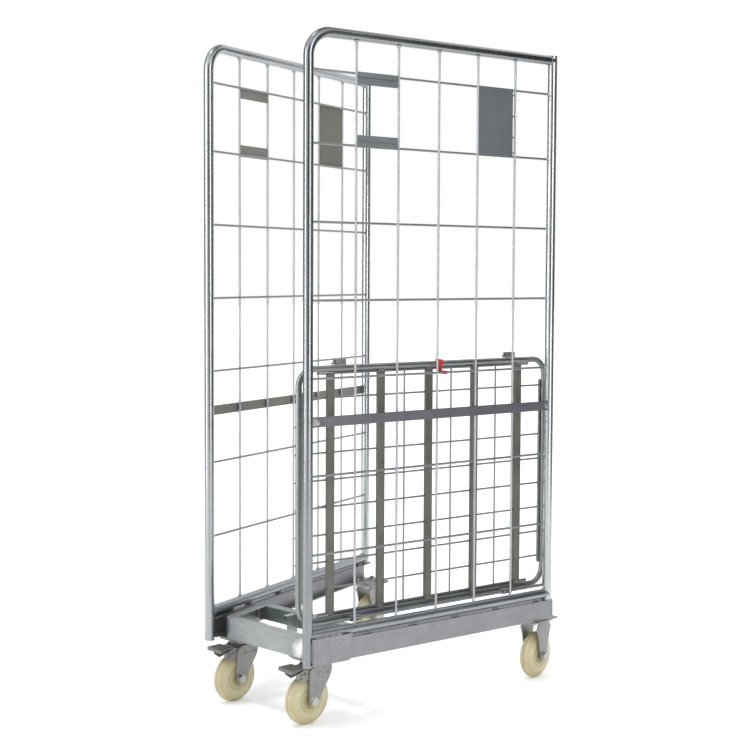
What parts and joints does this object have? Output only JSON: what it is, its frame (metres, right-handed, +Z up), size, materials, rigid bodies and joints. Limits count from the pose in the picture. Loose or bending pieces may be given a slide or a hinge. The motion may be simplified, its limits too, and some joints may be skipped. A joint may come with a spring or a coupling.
{
  "type": "roll cage container",
  "caption": "Nesting roll cage container: mesh sides set in an A plan on a channel base, hinged deck folded up against one side, braked swivel casters in front and fixed casters behind.",
  "frame": {"origin": "on the floor, under the centre of the bounding box", "axes": "+Z up, Y along the length with the narrow end towards -Y, X across with the folded deck on the +X side"},
  "size_m": [0.7074, 0.8374, 1.69],
  "materials": {
    "zinc_steel": "bright zinc plated",
    "deck_steel": "zinc plated",
    "sheet_steel": "zinc plated sheet",
    "caster_steel": "zinc plated pressing",
    "bright_fasteners": "bright zinc",
    "nylon_wheel": "satin cast nylon",
    "red_plastic": "moulded"
  },
  "bodies": {
    "base": {"right_frame_tube": "zinc_steel", "right_rear_upright": "zinc_steel", "right_bottom_tube": "zinc_steel", "right_upright_wires": "zinc_steel", "right_level_wires": "zinc_steel", "right_waist_band": "zinc_steel", "right_card_strips": "sheet_steel", "right_label_plate": "sheet_steel", "right_rail": "zinc_steel", "right_gusset": "zinc_steel", "left_frame_tube": "zinc_steel", "left_rear_upright": "zinc_steel", "left_bottom_tube": "zinc_steel", "left_upright_wires": "zinc_steel", "left_level_wires": "zinc_steel", "left_waist_band": "zinc_steel", "left_card_strips": "sheet_steel", "left_label_plate": "sheet_steel", "left_rail": "zinc_steel", "left_gusset": "zinc_steel", "hinge_rod": "deck_steel", "front_ring": "zinc_steel", "cross_member": "zinc_steel", "cross_bracket": "zinc_steel", "front_seats": "caster_steel", "rear_seats": "caster_steel", "caster_bolts": "bright_fasteners", "deck_clip": "red_plastic", "right_swivel_plate": "caster_steel", "right_kingpin": "bright_fasteners", "left_swivel_plate": "caster_steel", "left_kingpin": "bright_fasteners", "right_fixed_fork": "caster_steel", "right_rear_axle": "bright_fasteners", "left_fixed_fork": "caster_steel", "left_rear_axle": "bright_fasteners"},
    "deck": {"deck_frame": "deck_steel", "deck_stiffeners": "deck_steel", "deck_slats": "deck_steel", "deck_long_wires": "deck_steel", "deck_cross_wires": "deck_steel", "deck_hinge_sleeves": "deck_steel", "deck_edge_hooks": "deck_steel"},
    "right_swivel": {"right_swivel_fork": "caster_steel", "right_brake_housing": "caster_steel", "right_front_axle": "bright_fasteners"},
    "right_pedal": {"right_brake_pedal": "caster_steel"},
    "right_front_wheel": {"right_front_wheel": "nylon_wheel"},
    "right_rear_wheel": {"right_rear_wheel": "nylon_wheel"},
    "left_swivel": {"left_swivel_fork": "caster_steel", "left_brake_housing": "caster_steel", "left_front_axle": "bright_fasteners"},
    "left_pedal": {"left_brake_pedal": "caster_steel"},
    "left_front_wheel": {"left_front_wheel": "nylon_wheel"},
    "left_rear_wheel": {"left_rear_wheel": "nylon_wheel"}
  },
  "joints": [
    {"name": "deck_hinge", "type": "hinge", "parent": "base", "child": "deck", "pos_m": [0.25189, -0.01559, 0.258], "axis": [-0.2057, -0.9786, 0], "range_deg": [0, 31]},
    {"name": "right_swivel_turn", "type": "hinge", "parent": "base", "child": "right_swivel", "pos_m": [0.134, -0.32066, 0.15], "axis": [0, 0, 1], "continuous": true},
    {"name": "right_front_wheel_roll", "type": "hinge", "parent": "right_swivel", "child": "right_front_wheel", "pos_m": [0.12927, -0.35433, 0.0625], "axis": [0.9903, -0.1392, 0], "continuous": true},
    {"name": "right_brake_press", "type": "hinge", "parent": "right_swivel", "child": "right_pedal", "pos_m": [0.12593, -0.37809, 0.134], "axis": [0.9903, -0.1392, 0], "range_deg": [0, 14]},
    {"name": "right_rear_wheel_roll", "type": "hinge", "parent": "base", "child": "right_rear_wheel", "pos_m": [0.31, 0.35134, 0.0625], "axis": [1, 0, 0], "continuous": true},
    {"name": "left_swivel_turn", "type": "hinge", "parent": "base", "child": "left_swivel", "pos_m": [-0.134, -0.32066, 0.15], "axis": [0, 0, 1], "continuous": true},
    {"name": "left_front_wheel_roll", "type": "hinge", "parent": "left_swivel", "child": "left_front_wheel", "pos_m": [-0.13637, -0.35457, 0.0625], "axis": [0.9976, -0.0698, 0], "continuous": true},
    {"name": "left_brake_press", "type": "hinge", "parent": "left_swivel", "child": "left_pedal", "pos_m": [-0.13805, -0.37852, 0.134], "axis": [0.9976, -0.0698, 0], "range_deg": [0, 14]},
    {"name": "left_rear_wheel_roll", "type": "hinge", "parent": "base", "child": "left_rear_wheel", "pos_m": [-0.31, 0.35134, 0.0625], "axis": [1, 0, 0], "continuous": true}
  ]
}
